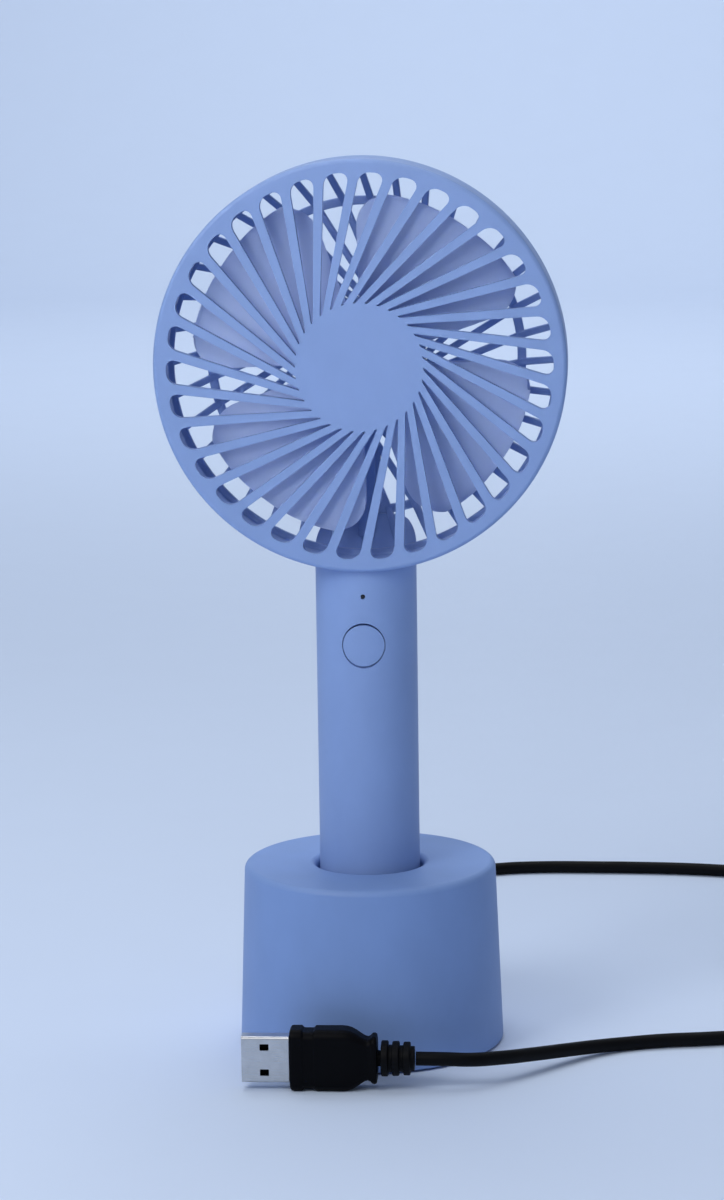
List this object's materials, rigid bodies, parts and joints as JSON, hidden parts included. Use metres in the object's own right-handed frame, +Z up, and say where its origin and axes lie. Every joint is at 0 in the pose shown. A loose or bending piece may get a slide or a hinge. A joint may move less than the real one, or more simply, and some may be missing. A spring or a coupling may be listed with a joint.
{
  "type": "hand-held fan with charging dock",
  "caption": "Hand-held rechargeable fan with a round guarded head on a tube handle, standing in a round charging dock with its cable.",
  "frame": {"origin": "middle of the dock's underside, on the surface it stands on", "axes": "+Z up along the handle, the fan faces -Y, +X to the right as seen from the front"},
  "size_m": [0.2052, 0.2238, 0.2321],
  "materials": {
    "shell_plastic": "satin lavender-blue moulding",
    "impeller_plastic": "satin lavender-blue moulding",
    "dock_plastic": "satin lavender-blue moulding",
    "white_plastic": "white engineering plastic",
    "black_plastic": "black moulding",
    "clear_plastic": "clear light pipe",
    "cord_jacket": "soft black jacket",
    "tie_rubber": "black strap",
    "foot_rubber": "dark grey rubber",
    "red_wire": "red insulation",
    "black_wire": "black insulation",
    "circuit_board": "green circuit board",
    "cell_wrap": "blue shrink sleeve",
    "steel": "plain steel",
    "nickel": "nickel-plated steel",
    "iron": "iron",
    "magnet": "bonded ferrite",
    "brass": "brass",
    "copper": "enamelled copper winding",
    "gold_contact": "gold-plated contact"
  },
  "bodies": {
    "dock": {"dock_shell": "dock_plastic", "dock_base_plate": "dock_plastic", "dock_ballast": "iron", "dock_board": "circuit_board", "usb_socket": "nickel", "pogo_barrel_left": "brass", "pogo_barrel_right": "brass", "pogo_spring_left": "steel", "pogo_spring_right": "steel", "rubber_foot_1": "foot_rubber", "rubber_foot_2": "foot_rubber", "rubber_foot_3": "foot_rubber", "dock_screw_left": "steel", "dock_screw_right": "steel"},
    "fan": {"front_grille": "shell_plastic", "rear_housing": "shell_plastic", "rear_grille": "shell_plastic", "motor_bush": "brass", "stator_core": "iron", "stator_coils": "copper", "motor_board": "circuit_board", "motor_mount": "white_plastic", "motor_screw_1": "steel", "motor_screw_2": "steel", "motor_screw_3": "steel", "motor_wire_red": "red_wire", "motor_wire_black": "black_wire", "handle_front_shell": "shell_plastic", "handle_rear_shell": "shell_plastic", "handle_end_cap": "shell_plastic", "charge_pad_left": "gold_contact", "charge_pad_right": "gold_contact", "cap_screw_front": "steel", "cap_screw_rear": "steel", "light_pipe": "clear_plastic", "control_board": "circuit_board", "tact_switch": "black_plastic", "battery_cell": "cell_wrap", "battery_tab_lower": "nickel", "battery_tab_upper": "nickel"},
    "rotor": {"impeller": "impeller_plastic", "rotor_can": "steel", "magnet_ring": "magnet", "motor_shaft": "steel", "shaft_clip": "steel"},
    "button": {"button_cap": "shell_plastic", "switch_plunger": "white_plastic"},
    "pogo_left": {"pogo_pin_left": "gold_contact"},
    "pogo_right": {"pogo_pin_right": "gold_contact"},
    "cable": {"micro_plug_shell": "nickel", "micro_plug_body": "black_plastic", "micro_plug_relief": "cord_jacket", "cord_rear": "cord_jacket", "cord_coil": "cord_jacket", "cord_front": "cord_jacket", "coil_tie": "tie_rubber", "usb_plug_shell": "nickel", "usb_plug_tongue": "black_plastic", "usb_plug_body": "black_plastic", "usb_plug_relief": "cord_jacket"}
  },
  "joints": [
    {"name": "fan_lift", "type": "slide", "parent": "dock", "child": "fan", "axis": [0, 0, 1], "range_m": [0, 0.045]},
    {"name": "fan_spin", "type": "hinge", "parent": "fan", "child": "rotor", "pos_m": [0, 0, 0.1796], "axis": [0, 1, 0], "continuous": true},
    {"name": "button_press", "type": "slide", "parent": "fan", "child": "button", "axis": [0, 1, 0], "range_m": [0, 0.0005], "stiffness_N_per_m": 300, "springref_m": -0.001},
    {"name": "pogo_left_press", "type": "slide", "parent": "dock", "child": "pogo_left", "axis": [0, 0, 1], "range_m": [-0.001, 0], "stiffness_N_per_m": 200, "springref_m": 0.001, "deforming": ["pogo_spring_left"]},
    {"name": "pogo_right_press", "type": "slide", "parent": "dock", "child": "pogo_right", "axis": [0, 0, 1], "range_m": [-0.001, 0], "stiffness_N_per_m": 200, "springref_m": 0.001, "deforming": ["pogo_spring_right"]},
    {"name": "cable_unplug", "type": "slide", "parent": "dock", "child": "cable", "axis": [0, 1, 0], "range_m": [0, 0.006]}
  ]
}
